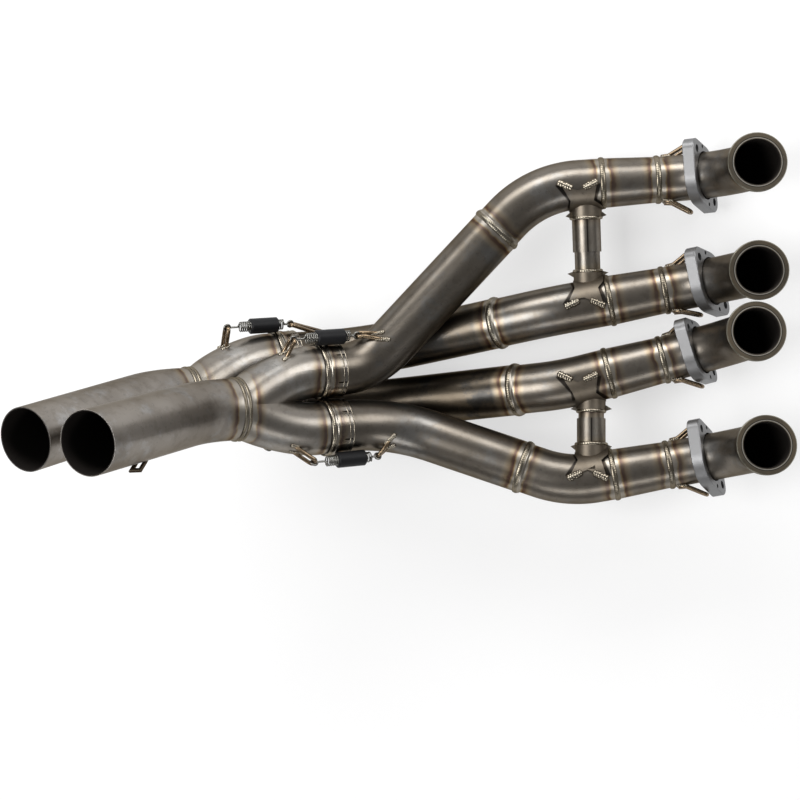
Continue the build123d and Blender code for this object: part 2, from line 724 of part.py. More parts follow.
for name, mouth_a, mouth_b, i_a, i_b, collar, corner, outlet in (
    ("front", SOCKET_1, SOCKET_4, 1, 4, COLLAR_FRONT, OUTLET_CORNER_FRONT, MOUTH_FRONT),
    ("rear", SOCKET_2, SOCKET_3, 2, 3, COLLAR_REAR, OUTLET_CORNER_REAR, MOUTH_REAR),
):
    upper, lower = collector(mouth_a, mouth_b, collar, corner, outlet)
    parts[f"branch_{i_a}"] = upper
    parts[f"branch_{i_b}"] = lower
    parts[f"socket_{i_a}"] = socket(mouth_a)
    parts[f"socket_{i_b}"] = socket(mouth_b)
    parts[f"collar_{name}"] = collar_ring(collar, corner)
    out = outlet_route(collar, corner, outlet)
    outer = OUTLET_OD / 2
    parts[f"outlet_{name}"] = out.tube(0, out.length, outer, outer - TUBE_WALL)
    clock = SPRING_CLOCK_FRONT if name == "front" else SPRING_CLOCK_REAR
    for i, mouth, sign in ((i_a, mouth_a, 1), (i_b, mouth_b, -1)):
        slid = mouth + SOCKET_AXIS * slides[i]
        wire, sleeve, eye_in, eye_out, across = spring_parts(slid, sign * clock)
        parts[f"spring_{i}"] = wire
        parts[f"spring_sleeve_{i}"] = sleeve
        up = spring_frame(sign * clock)[0]
        side = across * (HOOK_SPREAD / 2)
        foot_out = eye_out + SOCKET_AXIS * feet_out[i] - up * FOOT_DROP - across * (sign * feet_front[i])
        hook_out = spring_hook(eye_out, across, foot_out - side, foot_out + side, [parts[f"branch_{i}"]])
        station = routes[i].length - feet_back[i]
        foot_r = LOWER_OD / 2 - FOOT_DEPTH
        low_foot = skin_point(routes[i], station, sign * feet_clock[i] - FOOT_SPLAY, foot_r)
        high_foot = skin_point(routes[i], station, sign * feet_clock[i] + FOOT_SPLAY, foot_r)
        lower_skin = routes[i].tube(seams[i], routes[i].length, LOWER_OD / 2)
        hook_in = spring_hook(eye_in, across, low_foot, high_foot, [lower_skin])
        parts[f"spring_hooks_{i}"] = Compound([hook_out, hook_in])
    parts[f"outlet_{name}"] = parts[f"outlet_{name}"] + outlet_hook(out, out.tube(0, out.length, outer))


# Lay the header on its back, centred over the bench point

def laid(shape):
    return Rot(0, REST_PITCH, 0) * (Rot(REST_ROLL, 0, 0) * shape)


resting = {name: laid(part) for name, part in parts.items()}
box = Compound([solid for part in resting.values() for solid in part.solids()]).bounding_box()
shift = Vector(-(box.min.X + box.max.X) / 2, -(box.min.Y + box.max.Y) / 2, -box.min.Z)
for name, part in resting.items():
    final = Pos(shift.X, shift.Y, shift.Z) * part
    export_step(final, f"parts/{name}.step")
    print(name, round(part.volume, 1), len(part.solids()), part.is_valid)
print("box", box.size, "shift", shift)


# Where the interfaces come to lie, for whoever fastens something to the header

def row_point(point):
    turned_point = laid(Pos(point.X, point.Y, point.Z) * Vertex(0, 0, 0)).center()
    return turned_point + shift


def row_line(name, point, way):
    here = row_point(point)
    there = row_point(point + way * 100.0)
    along = (there - here) / 100.0
    print(name, [round(v, 4) for v in here], [round(v, 6) for v in along])


for i, route in routes.items():
    row_line(f"port {i}", route.point(0), route.heading(0) * -1)
    stub = route.legs[1]
    row_line(f"slide centre {i}", stub.centre, stub.axis)
    reach = math.radians(turns[i]) * stub.radius
    row_line(f"flange back {i}", stub.point(reach), stub.heading(reach) * -1)
for name, corner, mouth in (
    ("front", OUTLET_CORNER_FRONT, MOUTH_FRONT),
    ("rear", OUTLET_CORNER_REAR, MOUTH_REAR),
):
    row_line(f"outlet {name}", mouth, (mouth - corner).normalized())
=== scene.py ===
# %% [markdown]
# # A motorcycle exhaust header in brushed titanium
# Four primary pipes leave the engine's ports, cross over each other and
# meet two by two in a pair of collectors. This lesson dresses the exact
# solids of the header: it gives the metal its brushed grain and the straw
# and brown bands that welding leaves, winds real springs, bends the wire
# hooks round, and lays ripples on the weld beads.

# %% Load the header as a fixed frame
import math

import bmesh
import bpy
from mathutils import Matrix, Vector


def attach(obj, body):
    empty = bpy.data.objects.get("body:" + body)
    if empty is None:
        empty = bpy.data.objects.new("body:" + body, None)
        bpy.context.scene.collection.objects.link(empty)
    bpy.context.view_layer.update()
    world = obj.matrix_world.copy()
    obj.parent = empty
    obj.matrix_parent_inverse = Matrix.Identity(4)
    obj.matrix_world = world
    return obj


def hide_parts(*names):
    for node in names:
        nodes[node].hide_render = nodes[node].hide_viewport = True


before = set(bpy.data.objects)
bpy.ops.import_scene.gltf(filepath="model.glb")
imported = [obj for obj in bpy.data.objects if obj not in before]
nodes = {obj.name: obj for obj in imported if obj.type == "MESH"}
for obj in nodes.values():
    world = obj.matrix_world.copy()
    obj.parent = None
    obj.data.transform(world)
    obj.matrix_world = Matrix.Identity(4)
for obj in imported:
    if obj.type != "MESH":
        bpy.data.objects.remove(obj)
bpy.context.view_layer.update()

# %% [markdown]
# ## The lie of the header
# The header was drawn with its port line along Y and the ports facing up,
# and then laid on its back, the way it comes to rest on a bench. The same
# two turns and the same move take any drawn point to the bench, so every
# piece below can be placed with the drawing's own numbers in millimetres.

# %% From the drawing to the bench
REST_PITCH = math.radians(11.4)
REST_ROLL = math.radians(-8.1)
BENCH_SHIFT = Vector((0.269513, 0.0162257, 0.110645))
MM = 0.001
laying = Matrix.Rotation(REST_PITCH, 3, "Y") @ Matrix.Rotation(REST_ROLL, 3, "X")


def laid(x, y, z):
    """A drawn point, in millimetres, where it lies on the bench."""
    return laying @ (Vector((x, y, z)) * MM) + BENCH_SHIFT


def laid_way(x, y, z):
    """A drawn direction as it lies on the bench."""
    return (laying @ Vector((x, y, z))).normalized()


print("first port at", [round(v, 4) for v in laid(4.0, 110.5, 0.0)])

# %% [markdown]
# ## The pipes' centrelines
# A bent pipe is a chain of straight runs and round bends. Knowing the
# chain tells us where each weld sits and which way the pipe points there,
# and that is what the heat bands, the beads and the hooks all hang on.

# %% A run of pipe: straights joined by bends
class Run:
    """A leg holds its kind, start, heading and length, and a bend's axis and centre."""

    def __init__(self, corners, radii):
        self.legs = []
        here = corners[0]
        for before, corner, after, radius in zip(corners, corners[1:], corners[2:], radii):
            way = (corner - before).normalized()
            onward = (after - corner).normalized()
            angle = math.acos(way.dot(onward))
            start = corner - way * (radius * math.tan(angle / 2))
            self.legs.append(("straight", here, way, (start - here).length, None, None))
            axis = way.cross(onward).normalized()
            centre = start + axis.cross(way) * radius
            self.legs.append(("bend", start, way, radius * angle, axis, centre))
            here = corner + onward * (radius * math.tan(angle / 2))
        last = corners[-1] - here
        self.legs.append(("straight", here, last.normalized(), last.length, None, None))
        self.length = sum(leg[3] for leg in self.legs)

    def at(self, station):
        """The point and the heading, a given way along the pipe."""
        for kind, start, way, length, axis, centre in self.legs:
            if station <= length or kind == "straight" and start is self.legs[-1][1]:
                break
            station -= length
        if kind == "straight":
            return start + way * station, way
        spoke = start - centre
        swing = Matrix.Rotation(station / spoke.length, 3, axis)
        return centre + swing @ spoke, swing @ way


elbow = Run([Vector((0, 0, 0)), Vector((1, 0, 0)), Vector((1, 1, 0))], [0.5])
print("a corner of 2 with a bend of 0.5 is", round(elbow.length, 3), "long")

# %% The four primary pipes
SOCKET_WAY = laid_way(-0.896, -0.055, 0.438)
STUB_BEND_R = 0.066
port_points = {
    1: laid(4, 110.5, 0), 2: laid(1, 25.2, 0),
    3: laid(-3.5, -22.6, 0), 4: laid(0, -111.5, 0),
}
stub_corners = {
    1: laid(6, 112, -76), 2: laid(4.5, 28.5, -76),
    3: laid(-2.5, -25, -76), 4: laid(1.5, -115, -76),
}
middle_corners = {
    1: laid(-164.5, 108.5, -85), 2: laid(-157.5, 5.5, -96),
    3: laid(-148.5, -55.5, -94), 4: laid(-148, -136, -88),
}
sockets = {
    1: laid(-334, -36.5, -94), 2: laid(-372, -22, -137),
    3: laid(-369.5, -68.5, -137), 4: laid(-330.5, -83, -93),
}
approaches = {1: 0.0275, 2: 0.066, 3: 0.070, 4: 0.042}
middle_radii = {1: 0.088, 2: 0.110, 3: 0.110, 4: 0.092}
lower_radii = {1: 0.057, 2: 0.100, 3: 0.105, 4: 0.102}

runs = {}
for i in (1, 2, 3, 4):
    lower_corner = sockets[i] - SOCKET_WAY * approaches[i]
    corners = [port_points[i], stub_corners[i], middle_corners[i], lower_corner, sockets[i]]
    runs[i] = Run(corners, [STUB_BEND_R, middle_radii[i], lower_radii[i]])
    print("pipe", i, "is", round(runs[i].length * 1000), "mm long")

# %% The collectors and outlets
collars = {"front": laid(-413.5, -67, -53), "rear": laid(-455.5, -55, -92)}
outlet_corners = {"front": laid(-441, -68, -37), "rear": laid(-483, -56, -76)}
mouths = {"front": laid(-512.5, -92, 92), "rear": laid(-565.5, -87, 52)}
collar_ways = {name: (outlet_corners[name] - collars[name]).normalized() for name in collars}
mouth_ways = {name: (mouths[name] - outlet_corners[name]).normalized() for name in collars}
fed_by = {"front": (1, 4), "rear": (2, 3)}
print("outlet mouths", {name: [round(v, 3) for v in mouths[name]] for name in mouths})

# %% Sizes that the looks share with the solids
STUB_R = 0.019
MIDDLE_R = 0.0205
LOWER_R = 0.0212
OUTLET_R = 0.025
TUBE_WALL = 0.0012
RING_SEAM = 0.012
STUB_SEAM = 0.120
MIDDLE_SEAM = 0.1655
lower_seams = {1: 0.2645, 2: 0.2625, 3: 0.245, 4: 0.2415}
SOCKET_LENGTH = 0.0185
COLLAR_LENGTH = 0.006
SOCKET_R = 0.0226
ROD_R = 0.0017
print("tubes", 2000 * STUB_R, "to", 2000 * OUTLET_R, "mm over")

# %% [markdown]
# ## Shader sums written as sums
# A material's pattern is arithmetic on coordinates. Wiring Math nodes by
# hand hides that, so a small class wraps a socket: adding two of them
# adds a Math node. Everything else comes from one method, `make`.

# %% A socket that can be reckoned with
class Sock:
    """An output of a node tree that can be added, multiplied and mixed."""

    def __init__(self, tree, out):
        self.tree = tree
        self.out = out

    def make(self, kind, settings=None, values=None, out=0):
        """Adds a node, sets it up, feeds its sockets and returns one output."""
        node = self.tree.nodes.new(kind)
        settings = dict(settings or {})
        stops = settings.pop("stops", None)
        for key, value in settings.items():
            setattr(node, key, value)
        if stops:
            ramp = node.color_ramp.elements
            while len(ramp) < len(stops):
                ramp.new(0.5)
            for stop, (place, colour) in zip(ramp, stops):
                stop.position = place
                stop.color = (*colour, 1.0)
        for key, value in (values or {}).items():
            if isinstance(value, Sock):
                self.tree.links.new(value.out, node.inputs[key])
            else:
                node.inputs[key].default_value = value
        return Sock(self.tree, node.outputs[out])

    def math(self, operation, *others):
        values = {0: self}
        for k, other in enumerate(others):
            values[k + 1] = other
        return self.make("ShaderNodeMath", {"operation": operation}, values)

    def __add__(self, other):
        return self.math("ADD", other)

    def __sub__(self, other):
        return self.math("SUBTRACT", other)

    def __rsub__(self, other):
        return self.make("ShaderNodeMath", {"operation": "SUBTRACT"}, {0: other, 1: self})

    def __mul__(self, other):
        return self.math("MULTIPLY", other)

    def __truediv__(self, other):
        return self.math("DIVIDE", other)

    __radd__ = __add__
    __rmul__ = __mul__

    def vector(self, operation, *others, out=0):
        values = {0: self}
        for k, other in enumerate(others):
            values[k + 1] = tuple(other)
        return self.make("ShaderNodeVectorMath", {"operation": operation}, values, out)

    def dot(self, way):
        return self.vector("DOT_PRODUCT", way, out=1)

    def away(self, point):
        """The arrow from a fixed point to here."""
        return self.vector("SUBTRACT", point)

    def size(self):
        return self.vector("LENGTH", out=1)

    def noise(self, scale, detail=3.0, rough=0.55):
        values = {"Vector": self, "Scale": scale, "Detail": detail, "Roughness": rough}
        return self.make("ShaderNodeTexNoise", None, values)

    def fade(self, low, high):
        """1 below low, 0 above high, and a soft step between."""
        settings = {"interpolation_type": "SMOOTHSTEP"}
        values = {"Value": self, "From Min": low, "From Max": high, "To Min": 1.0, "To Max": 0.0}
        return self.make("ShaderNodeMapRange", settings, values)

    def mix(self, other, mask):
        """This colour where mask is 0, the other where it is 1."""
        values = {"Factor": mask, 6: self, 7: other}
        return self.make("ShaderNodeMix", {"data_type": "RGBA"}, values, out=2)

    def between(self, low, high):
        """A colour between two fixed ones, by this mask."""
        return self.make("ShaderNodeMix", {"data_type": "RGBA"}, {"Factor": self, 6: low, 7: high}, out=2)


print("a socket can", [name for name in vars(Sock) if not name.startswith("_")])

# %% Start a material
def blank(name):
    """A material with only a shader in it, and the place of each point."""
    material = bpy.data.materials.new(name)
    material.use_nodes = True
    tree = material.node_tree
    shader = next(n for n in tree.nodes if n.type == "BSDF_PRINCIPLED")
    coords = tree.nodes.new("ShaderNodeTexCoord")
    return material, tree, shader, Sock(tree, coords.outputs["Object"])


def feed(tree, shader, **values):
    """Wires or sets the shader's inputs, spaces written as underscores."""
    for key, value in values.items():
        socket = shader.inputs[key.replace("_", " ")]
        if isinstance(value, Sock):
            tree.links.new(value.out, socket)
        else:
            socket.default_value = value


print("materials so far", len(bpy.data.materials))

# %% [markdown]
# ## Brushed titanium
# The tube is brushed round and round before welding, so its shine is
# soft and a little streaky, and its grey is warm. Argon never quite
# covers the hot metal beside a weld: it oxidises in thin films that show
# as straw, brown and grey bands. Each band is a distance from the weld's
# plane, so a ramp on that distance paints it, and a slow noise bends it.

# %% The colours of the metal
TITANIUM = (0.230, 0.220, 0.205, 1.0)
BRIGHT_TITANIUM = (0.365, 0.352, 0.332, 1.0)
OUTLET_TITANIUM = (0.345, 0.334, 0.322, 1.0)
RING_TITANIUM = (0.125, 0.116, 0.096, 1.0)
SHEET_TITANIUM = (0.19, 0.172, 0.148, 1.0)
HAND_WELD = (0.42, 0.385, 0.32, 1.0)
MACHINE_WELD = (0.29, 0.265, 0.215, 1.0)
STAIN = (0.17, 0.13, 0.085, 1.0)
# Near-black used as painted shade inside the bores, as painted shadow beside the gussets, and for the dark
# line of the sleeve slit.
SHADE_AND_SLIT_BLACK = (0.012, 0.010, 0.009, 1.0)
ROD_TINT = (0.09, 0.07, 0.05, 1.0)
EDGE_TINT = (0.45, 0.42, 0.38, 1.0)
DARKENED = 0.5
# Painted shade: the middle and lower runs of each pipe are darker copies of the titanium, darkened by how
# much shade each pipe lies in.
middle_painted_shade = {1: 0.90, 2: 0.80, 3: 0.78, 4: 0.95}
lower_painted_shade = {1: 0.74, 2: 0.42, 3: 0.25, 4: 0.90}


def darker(colour, share):
    return (*(share * part for part in colour[:3]), 1.0)


print("in the shade the tube is", [round(v, 3) for v in darker(TITANIUM, DARKENED)])

# %% The heat bands beside a weld
BAND_STOPS = [
    (0.00, (0.36, 0.335, 0.30)),
    (0.30, (0.32, 0.29, 0.245)),
    (0.36, (0.24, 0.17, 0.085)),
    (0.42, (0.085, 0.048, 0.040)),
    (0.52, (0.105, 0.068, 0.048)),
    (0.60, (0.19, 0.145, 0.095)),
    (0.78, (0.26, 0.215, 0.155)),
    (1.00, (0.25, 0.23, 0.205)),
]
BAND_REACH = 0.016
BAND_FULL_TO = 0.55
WAVY = 60.0
WAVE = 0.007
PATCHY = 35.0
PATCHES = (0.62, 0.36)
LEAST_HEAT = 0.55
NEAR = 0.026
FAR = 0.034


def heat_bands(place, colour, welds):
    """Lays the coloured bands of each weld over a colour."""
    wobble = place.noise(WAVY, 3.0) * WAVE - WAVE / 2
    patches = place.noise(PATCHY, 3.0).fade(*PATCHES) * (1.0 - LEAST_HEAT) + LEAST_HEAT
    for centre, way, strength in welds:
        arrow = place.away(centre)
        from_plane = arrow.dot(way).math("ABSOLUTE") + wobble
        near = arrow.size().fade(NEAR, FAR)
        reach = (from_plane / BAND_REACH).math("MAXIMUM", 0.0)
        bands = place.make("ShaderNodeValToRGB", {"stops": BAND_STOPS}, {0: reach})
        mask = reach.fade(BAND_FULL_TO, 1.0) * near * patches * strength
        colour = colour.mix(bands, mask)
    return colour


print(len(BAND_STOPS), "stops of colour over", round(BAND_REACH * 1000), "mm")

# %% Distance to the centreline tells the inside wall from the outside
def from_line(place, centre, way):
    """How far a point lies from a straight centreline."""
    arrow = place.away(centre)
    along = arrow.dot(way)
    length = arrow.size()
    return (length * length - along * along).math("MAXIMUM", 0.0).math("SQRT"), along


def from_bend(place, centre, axis, radius):
    """How far a point lies from the centreline of a round bend."""
    arrow = place.away(centre)
    height = arrow.dot(axis)
    length = arrow.size()
    out = (length * length - height * height).math("MAXIMUM", 0.0).math("SQRT") - radius
    return (out * out + height * height).math("SQRT")


print("a pipe has", len(runs[1].legs), "legs, each a line or a bend to measure from")

# %% Masks for rings and lines
CRISP = 0.0002
SOFT = 0.0012
LINE_END = 0.002
RING_EDGE = 0.0003
RING_END = 0.0005


def rim(place, centre, way, low, high, deep):
    """1 between two distances from an axis, near one place on it."""
    radial, along = from_line(place, centre, way)
    ring = radial.fade(high, high + RING_EDGE) * (1.0 - radial.fade(low - RING_EDGE, low))
    return ring * along.math("ABSOLUTE").fade(deep, deep + RING_END)


def strip(place, start, end, side, low, high):
    """1 along a line from start to end, from low to high to one side of it."""
    way = (end - start).normalized()
    arrow = place.away(start)
    off = arrow.dot(side)
    along = arrow.dot(way)
    length = (end - start).length
    across = off.fade(high, high + SOFT) * (1.0 - off.fade(low - CRISP, low))
    return across * along.fade(length, length + LINE_END) * (1.0 - along.fade(-LINE_END, 0.0))


print("a drawn line fades out over", SOFT * 1000, "mm")

# %% The inside walls, where shade is painted
WALL_IN = TUBE_WALL * 0.6
WALL_OUT = TUBE_WALL * 0.3
BORE_END = 0.001


def inside_walls(place, bores, bends):
    """1 on the walls inside the given straights and bends, or None."""
    masks = []
    for centre, way, radius, low, high in bores:
        radial, along = from_line(place, centre, way)
        near = radial.fade(radius - WALL_IN, radius - WALL_OUT)
        span = along.fade(high, high + BORE_END) * (1.0 - along.fade(low - BORE_END, low))
        masks.append(near * span)
    for centre, axis, bend_r, radius in bends:
        radial = from_bend(place, centre, axis, bend_r)
        masks.append(radial.fade(radius - WALL_IN, radius - WALL_OUT))
    inside = masks[0] if masks else None
    for mask in masks[1:]:
        inside = inside.math("MAXIMUM", mask)
    return inside


# The painted shade on the inside walls starts this far under the skin.
print("soot starts", round(WALL_OUT * 1000, 2), "mm under the skin")

# %% The titanium itself: mottled, stained, banded, and darkened by painted shade inside
SLOW = 14.0
SPOTTY = 120.0
GRAINY = 900.0
STAINY = 26.0
DROPS = 210.0
DROP_LEVEL = 0.66
MOTTLED = (0.60, 0.38)
SPOTTED = (0.62, 0.50)
STAINED = (0.50, 0.36)
DRY_EDGE = (0.004, 0.012)
MOTTLE_SHARE = 0.60
SPOT_SHARE = 0.25
STAIN_SHARE = 0.35
DROP_SHARE = 0.7
STRIP_SHARE = 0.9
SLOW_SHINE = 0.14
FINE_SHINE = 0.05
# How much the painted shade inside dulls the shine and covers the metal.
SHADE_DULLS = 0.35
SHADE_COVERS = 0.7
BUMP = {"Strength": 0.12, "Distance": 0.0002}


def weathered(place, base, slow, spots):
    """The bare metal's colour, with stains and the rings of dried drops."""
    dark = darker(base, DARKENED)
    mottle = slow.fade(*MOTTLED) * MOTTLE_SHARE + spots.fade(*SPOTTED) * SPOT_SHARE
    colour = mottle.between(base, dark)
    stains = place.noise(STAINY, 5.0, 0.7).fade(*STAINED)
    colour = colour.mix(STAIN, stains * STAIN_SHARE)
    drops = place.noise(DROPS, 2.0, 0.4)
    dried = (drops - DROP_LEVEL).math("ABSOLUTE").fade(*DRY_EDGE)
    return colour.mix(dark, dried * DROP_SHARE)


def titanium(name, welds=(), bores=(), bends=(), strips=(), rims=(), base=TITANIUM, rough=0.24):
    """Brushed titanium with heat bands, coloured rings, dark strips, and painted shade darkening the
    inside walls.
    """
    material, tree, shader, place = blank(name)
    slow = place.noise(SLOW, 4.0)
    spots = place.noise(SPOTTY, 4.0, 0.65)
    grain = place.noise(GRAINY, 2.0)
    colour = weathered(place, base, slow, spots)
    if welds:
        colour = heat_bands(place, colour, welds)
    # Rings of colour: painted highlight and painted dark reflection rings on the port lips, and the rod's
    # own tint on the outlet hook.
    for *ring, tint in rims:
        colour = colour.mix(tint, rim(place, *ring))
    # Dark strips: painted shadow beside the gusset edges, and the dark line of the sleeve slit.
    for line in strips:
        colour = colour.mix(SHADE_AND_SLIT_BLACK, strip(place, *line) * STRIP_SHARE)
    roughness = rough + SLOW_SHINE * slow + FINE_SHINE * grain
    metal = 1.0
    # Painted shade: the inside walls are darkened, dulled and made less metallic, standing in for the dark
    # of the bore.
    inside = inside_walls(place, bores, bends)
    if inside:
        colour = colour.mix(SHADE_AND_SLIT_BLACK, inside)
        roughness = roughness + inside * SHADE_DULLS
        metal = 1.0 - inside * SHADE_COVERS
    height = grain * 0.5 + spots * 0.5
    bump = place.make("ShaderNodeBump", None, {**BUMP, "Height": height})
    feed(tree, shader, Base_Color=colour, Roughness=roughness, Normal=bump,
         Specular_Tint=EDGE_TINT, Metallic=metal)
    return material


def dress(node, material):
    """Gives a solid its material."""
    thing = nodes[node]
    thing.data.materials.clear()
    thing.data.materials.append(material)


print("noise scales", SLOW, STAINY, SPOTTY, DROPS, GRAINY)

# %% Where the gussets and cross tubes sit
cross_stations = {1: 0.1795, 2: 0.183, 3: 0.1805, 4: 0.184}
cross_radii = {1: 0.0118, 2: 0.0105, 3: 0.0105, 4: 0.0118}
pairs = {"12": (1, 2), "34": (4, 3)}
gusset_shifts = {1: -0.007, 2: -0.003, 3: -0.010, 4: -0.003}
GUSSET_TIP = 0.0165
GUSSET_WAIST = 0.0095
GUSSET_WAIST_AT = 0.014
GUSSET_FOOT = 0.0137
GUSSET_FOOT_AT = 0.019
TIP_AT = 0.0012
TIP_TILT = math.radians(24)
# Widths of the painted shadow that the gusset sheet casts on the pipe beside its hollow edges.
WIDE_SHADOW = 0.0018
NARROW_SHADOW = 0.0009
UNDER_SHEET = -0.004
inwards = {}
for top, low in pairs.values():
    span = runs[low].at(cross_stations[low])[0] - runs[top].at(cross_stations[top])[0]
    inwards[top] = span.normalized()
    inwards[low] = -inwards[top]
    print("cross tube from pipe", top, "to", low, "spans", round(span.length * 1000), "mm")


def gusset_frame(i):
    """The pipe's axis point under a gusset, and the ways along and out."""
    origin, way = runs[i].at(cross_stations[i])
    inward = inwards[i]
    across = (inward * way.dot(inward) - way).normalized()
    return origin, across, inward, across.cross(inward)


def gusset_shadows(i):
    """Painted shadow of the sheet on the pipe, a strip beside each of its two hollow edges."""
    origin, across, inward, normal = gusset_frame(i)
    edges = []
    for hand in (1, -1):
        shift = gusset_shifts[i]
        tip = origin + across * (shift + hand * GUSSET_TIP) + inward * TIP_AT
        waist = origin + across * (shift / 2 + hand * GUSSET_WAIST) + inward * GUSSET_WAIST_AT
        foot = origin + across * (hand * GUSSET_FOOT) + inward * GUSSET_FOOT_AT
        shadow_width = WIDE_SHADOW if hand > 0 else NARROW_SHADOW
        for start, end in ((tip, waist), (waist, foot)):
            side = (end - start).normalized().cross(normal)
            if side.dot(across) * hand < 0:
                side = -side
            edges.append((start, end, side, UNDER_SHEET, shadow_width))
    return edges


# %% [markdown]
# ## Dressing the tubes
# Every seam is a point, a heading and a heat from 0 to 1. A tube is told
# its own seams, and the bands fall in the right places by themselves. The
# port rings also get painted highlight and painted reflection rings at their
# lips: low radius, high radius, depth, colour.

# %% Dress the port ends
# Painted highlight and painted reflection rings at each port's lip: a bright highlight at the bore, a dark
# reflection line beside it and a lighter band on the outer bevel.
PORT_LIP_HIGHLIGHTS = [
    (0.0190, 0.0193, 0.0015, (0.56, 0.53, 0.47, 1.0)),
    (0.0196, 0.0200, 0.0015, (0.07, 0.064, 0.052, 1.0)),
    (0.0230, 0.0236, 0.0015, (0.26, 0.245, 0.20, 1.0)),
]
STUB_BORE = (STUB_R, -0.002, 0.016)
RING_HEAT = 0.8
SEAM_HEAT = 0.9
LOWER_HEAT = 1.0
CROSS_HEAT = 0.7
for i, run in runs.items():
    face, port_way = run.at(0.0)
    ring_seam = (*run.at(RING_SEAM), RING_HEAT)
    stub_seam = (*run.at(STUB_SEAM), SEAM_HEAT)
    axis, centre = run.legs[1][4:]
    bore = [(face, port_way, *STUB_BORE)]
    arc = [(centre, axis, STUB_BEND_R, STUB_R)]
    lip_highlights = [(face, port_way, *lip_highlight) for lip_highlight in PORT_LIP_HIGHLIGHTS]
    ring = titanium(f"port ring {i}", [ring_seam], bore, rims=lip_highlights, base=RING_TITANIUM)
    dress(f"port_ring_{i}", ring)
    stub = titanium(f"stub bend {i}", [ring_seam, stub_seam], bore, arc)
    dress(f"stub_bend_{i}", stub)
print("port ends dressed")

# %% Dress the primary pipes
for i, run in runs.items():
    stub_seam = (*run.at(STUB_SEAM), SEAM_HEAT)
    middle_seam = (*run.at(MIDDLE_SEAM), SEAM_HEAT)
    lower_seam = (*run.at(lower_seams[i]), LOWER_HEAT)
    cone = titanium(f"upper cone {i}", [stub_seam, middle_seam])
    dress(f"upper_cone_{i}", cone)
    # Painted shade: this pipe's middle and lower runs take darker copies of the titanium, and the middle
    # bend the gusset's painted shadow.
    shade = darker(TITANIUM, middle_painted_shade[i])
    seams = [middle_seam, lower_seam]
    tube = titanium(f"middle bend {i}", seams, strips=gusset_shadows(i), base=shade)
    dress(f"middle_bend_{i}", tube)
    shade = darker(TITANIUM, lower_painted_shade[i])
    tube = titanium(f"lower pipe {i}", [lower_seam], base=shade)
    dress(f"lower_pipe_{i}", tube)
print("primary pipes dressed")

# %% Dress the collectors
POLISHED = 0.14
for name, branches in fed_by.items():
    way = collar_ways[name]
    collar_seam = (collars[name], way, SEAM_HEAT)
    far_seam = (collars[name] + way * COLLAR_LENGTH, way, SEAM_HEAT)
    for i in branches:
        socket_seam = (sockets[i] + SOCKET_WAY * SOCKET_LENGTH, SOCKET_WAY, SEAM_HEAT)
        branch = titanium(f"branch {i}", [socket_seam, collar_seam], base=BRIGHT_TITANIUM)
        dress(f"branch_{i}", branch)
        band = titanium(f"socket {i}", [socket_seam], base=BRIGHT_TITANIUM, rough=POLISHED)
        dress(f"socket_{i}", band)
    collar = titanium(f"collar {name}", [collar_seam, far_seam], base=BRIGHT_TITANIUM)
    dress(f"collar_{name}", collar)
print("collectors dressed")

# %% Dress the outlets, each with the dark hook that stands out of it
OUTLET_BORE = (OUTLET_R, -0.12, 0.01)
HOOK_FROM_MOUTH = 0.0575
HOOK_REGION = (OUTLET_R + 0.0005, 0.040, 0.012)
for name, mouth in mouths.items():
    way = collar_ways[name]
    far_seam = (collars[name] + way * COLLAR_LENGTH, way, SEAM_HEAT)
    onward = mouth_ways[name]
    hook = (mouth - onward * HOOK_FROM_MOUTH, onward, *HOOK_REGION, ROD_TINT)
    bore = [(mouth, onward, *OUTLET_BORE)]
    outlet = titanium(f"outlet {name}", [far_seam], bore, rims=[hook], base=OUTLET_TITANIUM)
    dress(f"outlet_{name}", outlet)
print("outlets dressed")

# %% Dress the cross tubes, with the slit that lets each sleeve clamp
SLIT_FROM = 0.030
SLIT_TO = 0.070
SLIT_EDGES = (-0.0003, 0.0002)
for name, (top, low) in pairs.items():
    top_point = runs[top].at(cross_stations[top])[0]
    low_point = runs[low].at(cross_stations[low])[0]
    down = inwards[top]
    normal = gusset_frame(top)[3]
    front = top_point + normal * cross_radii[top]
    slit = (front + down * SLIT_FROM, front + down * SLIT_TO, down.cross(normal), *SLIT_EDGES)
    joint = (top_point + down * MIDDLE_R, down, CROSS_HEAT)
    sleeve = titanium(f"cross sleeve {name}", [joint], strips=[slit])
    dress(f"cross_sleeve_{name}", sleeve)
    joint = (low_point - down * MIDDLE_R, down, CROSS_HEAT)
    spigot = titanium(f"cross spigot {name}", [joint])
    dress(f"cross_spigot_{name}", spigot)
print("cross tubes dressed")

# %% [markdown]
# ## Flanges, rubber and spring steel
# The loose flanges are milled from aluminium plate: pale, satin and plain
# grey beside the warm titanium. The rubber tubes over the springs stop
# them ringing. Both want only one quiet material each.

# %% The plain materials
def satin(name, base, metallic, rough, bump_size=0.0001, scale=700.0, sheen=0.5):
    """One colour, with a fine grain in its shine."""
    material, tree, shader, place = blank(name)
    grain = place.noise(scale, 2.0)
    roughness = rough + 0.12 * grain
    bump = place.make("ShaderNodeBump", None, {"Strength": 0.10, "Distance": bump_size, "Height": grain})
    feed(tree, shader, Base_Color=base, Roughness=roughness, Normal=bump, Metallic=metallic,
         Specular_IOR_Level=sheen)
    return material


